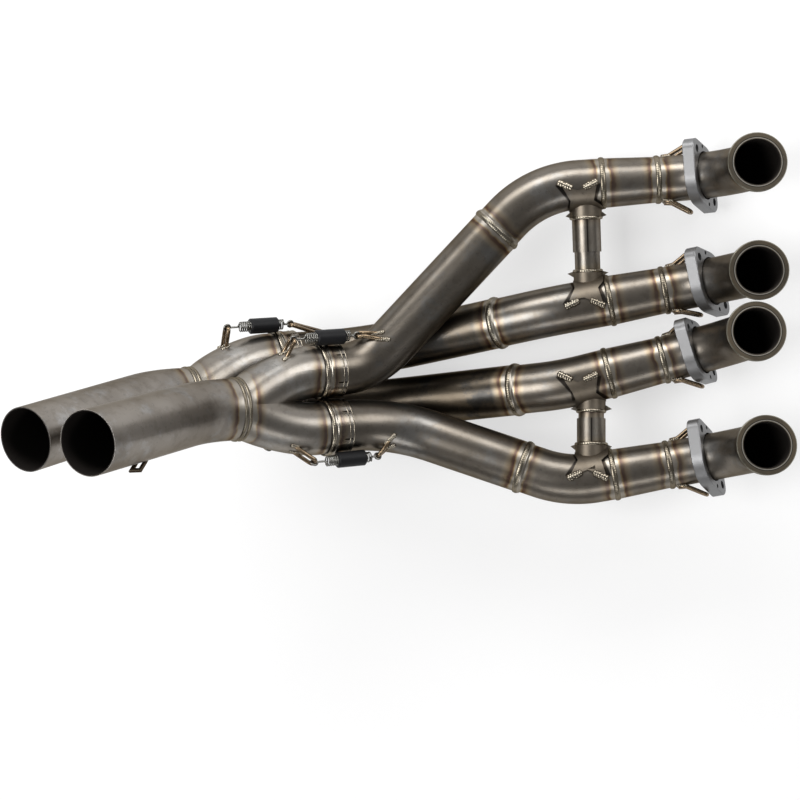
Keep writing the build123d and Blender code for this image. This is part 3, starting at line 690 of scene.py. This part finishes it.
aluminium = satin("milled aluminium", (0.215, 0.215, 0.217, 1.0), 1.0, 0.40)
rubber = satin("black rubber", (0.006, 0.006, 0.007, 1.0), 0.0, 0.46, 0.0002, 500.0, 0.22)
steel = satin("spring steel", (0.20, 0.195, 0.18, 1.0), 1.0, 0.20)
tinted_rod = satin("heat tinted rod", (0.21, 0.155, 0.10, 1.0), 1.0, 0.20)
for i in (1, 2, 3, 4):
    dress(f"flange_{i}", aluminium)
    dress(f"spring_sleeve_{i}", rubber)
print("plain materials", len(bpy.data.materials))

# %% [markdown]
# ## Bending wire
# Hooks and spring ends are wire bent round small formers, so their corners
# are arcs. The solids have sharp corners there. A circle of edges is pushed
# along each straight and spun round each corner, which is just what the
# bending machine does.

# %% Wire bent along a path
BARELY_BENT = 0.01
SHARE_OF_LEG = 0.48
DEGREES_A_STEP = 15


def square_to(way):
    """A turn that faces Z along a direction."""
    return way.to_track_quat("Z", "Y").to_matrix()


def edges_of(parts):
    return [part for part in parts if isinstance(part, bmesh.types.BMEdge)]


def bend_wire(mesh, points, bend_r, wire_r, sides):
    """Pushes and spins a circle along the points, rounding each corner."""
    way = (points[1] - points[0]).normalized()
    matrix = Matrix.Translation(points[0]) @ square_to(way).to_4x4()
    made = bmesh.ops.create_circle(mesh, segments=sides, radius=wire_r, matrix=matrix, cap_ends=False)
    edges = list({edge for vert in made["verts"] for edge in vert.link_edges})
    first = list(edges)
    here = points[0]
    for k, corner in enumerate(points[1:-1], 1):
        onward = (points[k + 1] - corner).normalized()
        angle = way.angle(onward)
        if angle < BARELY_BENT:
            continue
        room = min((corner - points[k - 1]).length, (points[k + 1] - corner).length) * SHARE_OF_LEG
        cut = min(bend_r * math.tan(angle / 2), room)
        radius = cut / math.tan(angle / 2)
        start = corner - way * cut
        edges = push(mesh, edges, start - here)
        axis = way.cross(onward).normalized()
        centre = start + axis.cross(way) * radius
        steps = max(3, round(math.degrees(angle) / DEGREES_A_STEP))
        ends = list({vert for edge in edges for vert in edge.verts})
        spun = bmesh.ops.spin(mesh, geom=ends + edges, cent=centre, axis=axis, dvec=(0, 0, 0),
                              angle=angle, steps=steps, use_merge=False, use_duplicate=False)
        edges = edges_of(spun["geom_last"])
        here = corner + onward * cut
        way = onward
    edges = push(mesh, edges, points[-1] - here)
    bmesh.ops.holes_fill(mesh, edges=first, sides=sides)
    bmesh.ops.holes_fill(mesh, edges=edges, sides=sides)


def push(mesh, edges, step):
    """Draws the open end of a tube out by one step."""
    if step.length < 1e-6:
        return edges
    pulled = bmesh.ops.extrude_edge_only(mesh, edges=edges)["geom"]
    verts = {part for part in pulled if isinstance(part, bmesh.types.BMVert)}
    bmesh.ops.translate(mesh, verts=list(verts), vec=step)
    return [edge for edge in edges_of(pulled) if verts.issuperset(edge.verts)]


print("a square corner is spun in", 90 // DEGREES_A_STEP, "steps")

# %% Turn a bmesh into a piece that rides on the pipes
def piece(mesh, name, material, smooth=True, replaces=()):
    """Names the mesh, gives it its material and fixes it to the pipes."""
    bmesh.ops.recalc_face_normals(mesh, faces=mesh.faces)
    data = bpy.data.meshes.new(name)
    mesh.to_mesh(data)
    mesh.free()
    for face in data.polygons:
        face.use_smooth = smooth
    thing = bpy.data.objects.new(name, data)
    bpy.context.scene.collection.objects.link(thing)
    data.materials.append(material)
    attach(thing, "pipes")
    if replaces:
        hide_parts(*replaces)


print("pieces ride on the pipes, beside", len(nodes), "solids")

# %% [markdown]
# ## Weld puddles
# A hand-fed weld is a row of small overlapping puddles, like a fallen
# stack of coins. Each is a squashed ball; a run of them follows the joint.

# %% A run of puddles
PUDDLE_STEP = 0.62
PUDDLE_LENGTH = 0.55
PUDDLE_WIDTH = 0.95
PUDDLE_SWAY = 0.12
PUDDLE_BEAT = 2.4
PUDDLE_LEAN = 0.35


def puddles(mesh, start, end, out, size, lift):
    """Lays flattened balls from start to end, each leaning on the last."""
    span = end - start
    way = span.normalized()
    out = (out - way * out.dot(way)).normalized()
    side = way.cross(out)
    count = max(2, round(span.length / (size * PUDDLE_STEP)))
    turn = Matrix((way, side, out)).transposed().to_4x4()
    lean = Matrix.Rotation(PUDDLE_LEAN, 4, "Y")
    for k in range(count + 1):
        centre = start + span * (k / count)
        width = size * (PUDDLE_WIDTH + PUDDLE_SWAY * math.sin(k * PUDDLE_BEAT))
        squash = Matrix.Diagonal((size * PUDDLE_LENGTH, width, size * lift, 1.0))
        matrix = Matrix.Translation(centre) @ turn @ lean @ squash
        bmesh.ops.create_uvsphere(mesh, u_segments=8, v_segments=6, radius=1.0, matrix=matrix)


weld_metal = titanium("weld metal", base=HAND_WELD, rough=0.12)
bead_metal = titanium("machine bead", base=MACHINE_WELD, rough=0.17)
print("two weld metals made")

# %% [markdown]
# ## Ripples on the machine welds
# The tube seams are welded by machine, so their beads are even rings with
# fine ripples. A half-round profile is spun round the pipe, and each ring
# of points is then pushed in or out by a wave that bends back at the edges.

# %% A rippled bead round a pipe
PROFILE_STEPS = 6
STEPS_A_RIPPLE = 4
RIPPLE_DEPTH = 0.09
RIPPLE_LEAN = 2.4
RIPPLES = 84


def bead_ring(mesh, centre, way, radius, width, height, ripples=RIPPLES):
    """Spins a half-round bead about the pipe, then ripples it."""
    before = set(mesh.verts)
    verts = []
    for k in range(PROFILE_STEPS + 1):
        angle = math.pi * k / PROFILE_STEPS
        out = radius + height * math.sin(angle)
        verts.append(mesh.verts.new((out, 0.0, -math.cos(angle) * width / 2)))
    edges = [mesh.edges.new(pair) for pair in zip(verts, verts[1:])]
    bmesh.ops.spin(mesh, geom=verts + edges, cent=(0, 0, 0), axis=(0, 0, 1), dvec=(0, 0, 0),
                   angle=math.tau, steps=ripples * STEPS_A_RIPPLE, use_merge=True, use_duplicate=False)
    ring = [vert for vert in mesh.verts if vert not in before]
    for vert in ring:
        lean = abs(vert.co.z) / (width / 2)
        wave = math.sin(ripples * math.atan2(vert.co.y, vert.co.x) - RIPPLE_LEAN * lean)
        shell = vert.co.xy.length
        rise = (shell - radius) / height
        vert.co.xy *= (shell + wave * height * RIPPLE_DEPTH * rise) / shell
    turn = Matrix.Translation(centre) @ square_to(way).to_4x4()
    bmesh.ops.transform(mesh, matrix=turn, verts=ring)


print("a bead is spun in", RIPPLES * STEPS_A_RIPPLE, "steps")

# %% Lay the beads: each is a width, a height and a number of ripples
SEAM_BEAD = (0.0046, 0.00105)
LOWER_BEAD = (0.0050, 0.00115)
COLLAR_BEAD = (0.0030, 0.00105, 100)
SOCKET_BEAD = (0.0036, 0.0008, 90)
SOCKET_LIP = (0.0012, 0.0004, 24)
SOCKET_LIPS_AT = (0.0008, 0.0042, SOCKET_LENGTH - 0.0050)
BEAD_SINK = 0.0001
COLLAR_BEAD_IN = 0.0011
for i, run in runs.items():
    mesh = bmesh.new()
    bead_ring(mesh, *run.at(STUB_SEAM), STUB_R, *SEAM_BEAD)
    bead_ring(mesh, *run.at(MIDDLE_SEAM), MIDDLE_R, *SEAM_BEAD)
    bead_ring(mesh, *run.at(lower_seams[i]), LOWER_R - BEAD_SINK, *LOWER_BEAD)
    piece(mesh, f"seam_beads_{i}", bead_metal)
for name, way in collar_ways.items():
    mesh = bmesh.new()
    for along in (COLLAR_BEAD_IN, COLLAR_LENGTH - COLLAR_BEAD_IN):
        bead_ring(mesh, collars[name] + way * along, way, OUTLET_R, *COLLAR_BEAD)
    piece(mesh, f"collar_beads_{name}", bead_metal)
for i, start in sockets.items():
    mesh = bmesh.new()
    bead_ring(mesh, start + SOCKET_WAY * SOCKET_LENGTH, SOCKET_WAY, SOCKET_R, *SOCKET_BEAD)
    for along in SOCKET_LIPS_AT:
        bead_ring(mesh, start + SOCKET_WAY * along, SOCKET_WAY, SOCKET_R, *SOCKET_LIP)
    piece(mesh, f"socket_bead_{i}", weld_metal)
print("beads laid")

# %% [markdown]
# ## Hand welds on the gussets
# Each gusset sheet wraps the pipe and reaches up the cross tube like an
# hourglass. It is welded by hand along its leg tips and round its neck,
# where the puddles stand bright against the brown heat.

# %% Weld the gussets
GUSSET_SHEET = 0.0014
GUSSET_TIP_WIDTH = 0.012
GUSSET_REACH_OUT = 0.028
TIP_MIDDLE = GUSSET_TIP - GUSSET_TIP_WIDTH / 2
TIP_WELD_HALF = GUSSET_TIP_WIDTH * 0.42
TIP_WELD_R = MIDDLE_R + GUSSET_SHEET * 0.4
TIP_PUDDLE = (0.0034, 0.6)
NECK_SINK = 0.0002
NECK_BEAD = (0.0030, 0.0012, 46)
sheet_metal = titanium("gusset sheet", base=SHEET_TITANIUM, rough=0.34)


def on_pipe(origin, across, inward, x, y, side):
    """A point on the pipe's skin, x along the pipe and y towards the neck."""
    depth = math.sqrt(max(TIP_WELD_R * TIP_WELD_R - y * y, 0.0))
    normal = across.cross(inward)
    out = inward * y + normal * (side * depth)
    return origin + across * x + out, out.normalized()


def clip_tips(mesh, i):
    """Cuts each leg of the sheet off slantwise, as it was sheared."""
    origin, across, inward = gusset_frame(i)[:3]
    middle = origin + across * gusset_shifts[i]
    whole = mesh.verts[:] + mesh.edges[:] + mesh.faces[:]
    bmesh.ops.bisect_plane(mesh, geom=whole, plane_co=middle, plane_no=across)
    for hand in (1, -1):
        half = [face for face in mesh.faces if (face.calc_center_median() - middle).dot(across) * hand > 0]
        edges = {edge for face in half for edge in face.edges}
        verts = {vert for face in half for vert in face.verts}
        corner = middle + across * (hand * TIP_MIDDLE) + inward * TIP_AT
        cut = inward * -math.cos(TIP_TILT) + across * (hand * -math.sin(TIP_TILT))
        bmesh.ops.bisect_plane(mesh, geom=[*verts, *edges, *half], plane_co=corner, plane_no=cut,
                               clear_outer=True)
    rims = [edge for edge in mesh.edges if len(edge.link_faces) == 1]
    bmesh.ops.holes_fill(mesh, edges=rims, sides=0)


def weld_gusset(mesh, i):
    """Puddles along the four leg tips, and a bead round the neck."""
    origin, across, inward = gusset_frame(i)[:3]
    reach = math.cos(TIP_TILT) * TIP_WELD_HALF
    rise = math.sin(TIP_TILT) * TIP_WELD_HALF
    for side in (1, -1):
        for hand in (1, -1):
            middle = gusset_shifts[i] + hand * TIP_MIDDLE
            start, out = on_pipe(origin, across, inward, middle + hand * reach, TIP_AT - rise, side)
            end = on_pipe(origin, across, inward, middle - hand * reach, TIP_AT + rise, side)[0]
            puddles(mesh, start, end, out, *TIP_PUDDLE)
    neck = origin + inward * (GUSSET_REACH_OUT - NECK_SINK)
    bead_ring(mesh, neck, inward, cross_radii[i] + GUSSET_SHEET * 0.5, *NECK_BEAD)


for i in inwards:
    solid = nodes[f"gusset_{i}"]
    mesh = bmesh.new()
    mesh.from_mesh(solid.data)
    mesh.transform(solid.matrix_world)
    clip_tips(mesh, i)
    piece(mesh, f"clipped_gusset_{i}", sheet_metal, smooth=False, replaces=[f"gusset_{i}"])
    mesh = bmesh.new()
    weld_gusset(mesh, i)
    piece(mesh, f"gusset_welds_{i}", weld_metal)
print("gussets welded")

# %% [markdown]
# ## Springs and their hooks
# Each slip joint is held shut by a tension spring with an eye at each end.
# The coil is a circle spun round the spring's axis while it climbs: one
# spin with a step along the axis. The solids have a ribbed bar there, and
# the wound wire takes its place.

# %% Where each spring lies
SPRING_OFFSET = 0.030
EYE_OUT = 0.043
EYE_IN = 0.014
spring_clocks = {1: 62, 2: 66, 3: -66, 4: -62}
spring_slides = {1: 0.0, 2: 0.020, 3: -0.008, 4: -0.008}


def spring_seat(i):
    """The two eyes of a spring, and the directions out and across."""
    clock = math.radians(spring_clocks[i])
    up = laid_way(0.0, math.sin(clock), math.cos(clock))
    up = (up - SOCKET_WAY * up.dot(SOCKET_WAY)).normalized()
    base = sockets[i] + SOCKET_WAY * spring_slides[i] + up * SPRING_OFFSET
    return base - SOCKET_WAY * EYE_IN, base + SOCKET_WAY * EYE_OUT, up, SOCKET_WAY.cross(up)


print("springs are", round((EYE_IN + EYE_OUT) * 1000), "mm from eye to eye")

# %% Wind a spring
WIRE_R = 0.0009
COIL_WIRE_R = 0.00060
COIL_PITCH = 0.0018
COIL_R = 0.0045
STEPS_A_TURN = 18
WIRE_SIDES = 8
TAIL_IN = 0.007
TAIL_OUT = 0.011
TAIL_TUCK = 0.0002
TAIL_DROP = 0.0012
TAIL_BEND_R = 0.002
EYE_NECK = 0.0016


def wind_spring(mesh, eye_in, eye_out, up):
    """Winds the close coil, then bends an eye on at each end."""
    way = (eye_out - eye_in).normalized()
    start = eye_in + way * TAIL_IN
    end = eye_out - way * TAIL_OUT
    length = (end - start).length
    turns = round(length / COIL_PITCH)
    steps = turns * STEPS_A_TURN
    ring_centre = start + up * (COIL_R - COIL_WIRE_R)
    matrix = Matrix.Translation(ring_centre) @ square_to(way.cross(up)).to_4x4()
    made = bmesh.ops.create_circle(mesh, segments=WIRE_SIDES, radius=COIL_WIRE_R, matrix=matrix,
                                   cap_ends=False)
    first = list({edge for vert in made["verts"] for edge in vert.link_edges})
    climb = way * (length / steps)
    spun = bmesh.ops.spin(mesh, geom=made["verts"] + first, cent=start, axis=way, dvec=climb,
                          angle=math.tau * turns, steps=steps, use_merge=False, use_duplicate=False)
    bmesh.ops.holes_fill(mesh, edges=edges_of(spun["geom_last"]), sides=WIRE_SIDES)
    loop_r = ROD_R + WIRE_R
    for eye, coil_end, sign in ((eye_in, start, 1.0), (eye_out, end, -1.0)):
        out = way * sign
        shoulder = coil_end + up * (COIL_R - WIRE_R) + out * TAIL_TUCK
        path = [shoulder, coil_end - out * TAIL_DROP, eye + out * (loop_r + EYE_NECK)]
        side = out.cross(up)
        for turn in range(0, 331, 30):
            path.append(eye + (Matrix.Rotation(math.radians(turn), 3, side) @ out) * loop_r)
        bend_wire(mesh, path, TAIL_BEND_R, WIRE_R, WIRE_SIDES)


print("coils are", 2000 * COIL_R, "mm wide and", COIL_PITCH * 1000, "mm apart")

# %% Bend the hooks round their corners
HOOK_SPREAD = 0.008
HOOK_KNEE = 0.0045
HOOK_BEND_R = 0.0036
ROD_SIDES = 12
FOOT_DROP = 0.021
FOOT_SPLAY = 13
FOOT_DEPTH = 0.0006
feet_out = {1: 0.013, 2: 0.002, 3: 0.014, 4: 0.027}
feet_front = {1: 0.005, 2: 0.0, 3: 0.0, 4: 0.005}
feet_back = {1: 0.052, 2: 0.027, 3: 0.057, 4: 0.039}
feet_clock = {1: 32, 2: 56, 3: 56, 4: 42}


def spring_hook(mesh, eye, across, low_foot, high_foot):
    """A U of rod: both feet on the metal, its bar through the eye."""
    side = across * (HOOK_SPREAD / 2)
    lean = (low_foot + high_foot) / 2 - eye
    lean = (lean - across * lean.dot(across)).normalized() * HOOK_KNEE
    path = [low_foot, eye - side + lean, eye - side, eye + side, eye + side + lean, high_foot]
    bend_wire(mesh, path, HOOK_BEND_R, ROD_R, ROD_SIDES)


print("hooks are", HOOK_SPREAD * 1000, "mm wide, of", 2000 * ROD_R, "mm rod")

# %% Where a rod meets the pipe it is welded to
BRANCH_PULL = 0.030
BRANCH_BACK = 0.45
BRANCH_GROWTH = 0.35
BRANCH_STEPS = 12
PIPE_STEPS = 40
ROD_STEPS = 100
FOOT_BEHIND = 0.4
FOOT_PUDDLE = (0.0024, 0.6)


def branch_line(i):
    """Points down the middle of a collector's branch, with its radius there."""
    name = next(key for key in fed_by if i in fed_by[key])
    start = sockets[i] + SOCKET_WAY * SOCKET_LENGTH
    pulled = start + SOCKET_WAY * BRANCH_PULL
    collar = collars[name]
    back = collar - (collar - pulled).normalized() * ((collar - start).length * BRANCH_BACK)
    line = []
    for k in range(BRANCH_STEPS + 1):
        t = k / BRANCH_STEPS
        u = 1 - t
        here = start * u**3 + pulled * (3 * u * u * t) + back * (3 * u * t * t) + collar * t**3
        line.append((here, LOWER_R + (OUTLET_R - LOWER_R) * t * BRANCH_GROWTH))
    return line


def skin_point(run, station, clock, radius):
    """A point on a pipe's skin, at a clock angle round it."""
    centre, way = run.at(station)
    turn = math.radians(clock)
    out = laid_way(0.0, math.sin(turn), math.cos(turn))
    return centre + (out - way * out.dot(way)).normalized() * radius


def pipe_line(i, low, high, radius):
    """Points down the middle of a pipe, with its radius there."""
    stations = [low + (high - low) * k / PIPE_STEPS for k in range(PIPE_STEPS + 1)]
    return [(runs[i].at(station)[0], radius) for station in stations]


def meeting(start, end, line):
    """The point where a rod from start to end goes into a round pipe."""
    for k in range(ROD_STEPS + 1):
        here = start.lerp(end, k / ROD_STEPS)
        nearest, radius = min(line, key=lambda pair: (pair[0] - here).length - pair[1])
        if (here - nearest).length <= radius:
            return here, (here - nearest).normalized()
    return end, (end - nearest).normalized()


def weld_foot(mesh, eye, foot, line, length):
    """Puddles where a rod's leg lies down on the pipe."""
    here, out = meeting(eye, foot, line)
    way = (foot - eye).normalized()
    flat = (way - out * way.dot(out)).normalized()
    behind = here - flat * length * FOOT_BEHIND
    puddles(mesh, behind, here + flat * length * (1 - FOOT_BEHIND), out, *FOOT_PUDDLE)


print("branch 1 is taken as", round(2000 * branch_line(1)[-1][1], 1), "mm wide at its collar")

# %% Wind the springs, bend their hooks and weld the feet
BRANCH_WELD = 0.006
PIPE_WELD = 0.011
for i in sockets:
    eye_in, eye_out, up, across = spring_seat(i)
    mesh = bmesh.new()
    wind_spring(mesh, eye_in, eye_out, up)
    piece(mesh, f"wound_spring_{i}", steel, replaces=[f"spring_{i}"])
    mesh = bmesh.new()
    sign = 1 if i in (1, 2) else -1
    side = across * (HOOK_SPREAD / 2)
    foot_out = eye_out + SOCKET_WAY * feet_out[i] - up * FOOT_DROP - across * (sign * feet_front[i])
    spring_hook(mesh, eye_out, across, foot_out - side, foot_out + side)
    station = runs[i].length - feet_back[i]
    foot_r = LOWER_R - FOOT_DEPTH
    low_foot = skin_point(runs[i], station, sign * feet_clock[i] - FOOT_SPLAY, foot_r)
    high_foot = skin_point(runs[i], station, sign * feet_clock[i] + FOOT_SPLAY, foot_r)
    spring_hook(mesh, eye_in, across, low_foot, high_foot)
    piece(mesh, f"bent_spring_hooks_{i}", tinted_rod, replaces=[f"spring_hooks_{i}"])
    mesh = bmesh.new()
    skin = pipe_line(i, lower_seams[i], runs[i].length, LOWER_R)
    for side, foot in ((-side, low_foot), (side, high_foot)):
        weld_foot(mesh, eye_out + side, foot_out + side, branch_line(i), BRANCH_WELD)
        weld_foot(mesh, eye_in + side, foot, skin, PIPE_WELD)
    piece(mesh, f"spring_hook_welds_{i}", weld_metal)
print("springs wound")

# %% Bend the flange hooks
HOOK_BASE = 0.1155
HOOK_LIFT = 0.109
HOOK_REACH = 0.0215
HOOK_HEIGHT = 0.0295
HOOK_HEIGHT_TIGHT = 0.026
HOOK_LEANS = ((1, math.radians(22.0)), (-1, math.radians(-5.0)))
PORT_HOOK_BEND_R = 0.0034
PORT_PUDDLE = (0.0026, 0.7)
BASE_SINK = 0.001
LIFT_SINK = 0.0008
for i, run in runs.items():
    mesh = bmesh.new()
    welds = bmesh.new()
    base_point = run.at(HOOK_BASE)[0]
    lift_point, way = run.at(HOOK_LIFT)
    for side_sign, lean in HOOK_LEANS:
        up = laid_way(0.0, side_sign * math.cos(lean), -math.sin(lean))
        up = (up - way * up.dot(way)).normalized()
        across = way.cross(up) * (HOOK_SPREAD / 2)
        base = base_point + up * (STUB_R + ROD_R * 0.2)
        lift = lift_point + up * (STUB_R + ROD_R * 0.6)
        height = HOOK_HEIGHT_TIGHT if i == 2 and side_sign < 0 else HOOK_HEIGHT
        tip = base_point - way * HOOK_REACH + up * height
        path = [base - across, lift - across, tip - across, tip + across, lift + across, base + across]
        bend_wire(mesh, path, PORT_HOOK_BEND_R, ROD_R, ROD_SIDES)
        for leg in (across, -across):
            low_end = base + leg - up * BASE_SINK
            puddles(welds, low_end, lift + leg - up * LIFT_SINK, up, *PORT_PUDDLE)
    piece(welds, f"port_hook_welds_{i}", weld_metal)
    piece(mesh, f"bent_port_hooks_{i}", tinted_rod, replaces=[f"port_hooks_{i}"])
print("flange hooks bent")

# %% [markdown]
# ## The bench, the light and the camera
# A pale floor, a broad light behind, one at the port end, one above and a
# weak one in front, in a dim room. Metal shows what is round it, so the
# lights are large.

# %% Floor
GLOW_SHARE = 0.6
floor_mesh = bmesh.new()
bmesh.ops.create_grid(floor_mesh, x_segments=1, y_segments=1, size=6.0)
floor_data = bpy.data.meshes.new("bench")
floor_mesh.to_mesh(floor_data)
floor_mesh.free()
bench = bpy.data.objects.new("bench", floor_data)
bpy.context.scene.collection.objects.link(bench)
material, tree, shader = blank("bench white")[:3]
feed(tree, shader, Base_Color=(0.93, 0.93, 0.93, 1.0), Roughness=0.9)
glow = tree.nodes.new("ShaderNodeEmission")
glow.inputs["Color"].default_value = (1.0, 1.0, 1.0, 1.0)
glow.inputs["Strength"].default_value = 1.0
path = tree.nodes.new("ShaderNodeLightPath")
seen = Sock(tree, path.outputs["Is Camera Ray"]) + Sock(tree, path.outputs["Is Glossy Ray"])
seen = (seen + Sock(tree, path.outputs["Is Transmission Ray"])).math("MINIMUM", 1.0) * GLOW_SHARE
blend = tree.nodes.new("ShaderNodeMixShader")
tree.links.new(seen.out, blend.inputs[0])
tree.links.new(shader.outputs[0], blend.inputs[1])
tree.links.new(glow.outputs[0], blend.inputs[2])
output = next(n for n in tree.nodes if n.type == "OUTPUT_MATERIAL")
tree.links.new(blend.outputs[0], output.inputs["Surface"])
floor_data.materials.append(material)
bench.location.z = -0.0005
print("bench glows with a share of", GLOW_SHARE)

# %% Lights
def softbox(name, place, aim, width, height, power):
    """A square-edged area light that faces its aim."""
    data = bpy.data.lights.new(name, "AREA")
    data.shape = "RECTANGLE"
    data.size = width
    data.size_y = height
    data.energy = power
    lamp = bpy.data.objects.new(name, data)
    bpy.context.scene.collection.objects.link(lamp)
    lamp.location = place
    lamp.rotation_euler = (Vector(place) - Vector(aim)).to_track_quat("Z", "Y").to_euler()


CENTRE = (-0.02, 0.0, 0.08)
softbox("key", (-0.3, 1.6, 0.9), CENTRE, 1.8, 0.7, 29.0)
softbox("far", (1.3, 1.0, 1.0), CENTRE, 1.0, 0.9, 14.0)
softbox("top", (-0.9, 0.0, 1.6), CENTRE, 0.8, 0.9, 20.0)
softbox("fill", (0.2, -1.3, 1.0), CENTRE, 1.2, 0.25, 5.0)
world = bpy.data.worlds.new("studio")
bpy.context.scene.world = world
world.use_nodes = True
sky = next(n for n in world.node_tree.nodes if n.type == "BACKGROUND")
sky.inputs["Color"].default_value = (1.0, 1.0, 1.0, 1.0)
sky.inputs["Strength"].default_value = 0.22
print(len(bpy.data.lights), "softboxes")

# %% Camera
right = laid_way(0.99932, -0.03674, 0.0)
up = laid_way(0.03664, 0.99664, 0.0733)
back = laid_way(-0.00269, -0.07325, 0.9973)
lens = bpy.data.cameras.new("camera")
lens.sensor_width = 36.0
lens.lens = 86.4
lens.shift_y = -0.1
lens.clip_start = 0.05
camera = bpy.data.objects.new("camera", lens)
bpy.context.scene.collection.objects.link(camera)
turn = Matrix((right, up, back)).transposed().to_4x4()
camera.matrix_world = Matrix.Translation(laid(-285.4, -113.5, 1494.9)) @ turn
bpy.context.scene.camera = camera
bpy.context.scene.view_settings.view_transform = "Standard"
print("camera at", [round(v, 3) for v in camera.location])
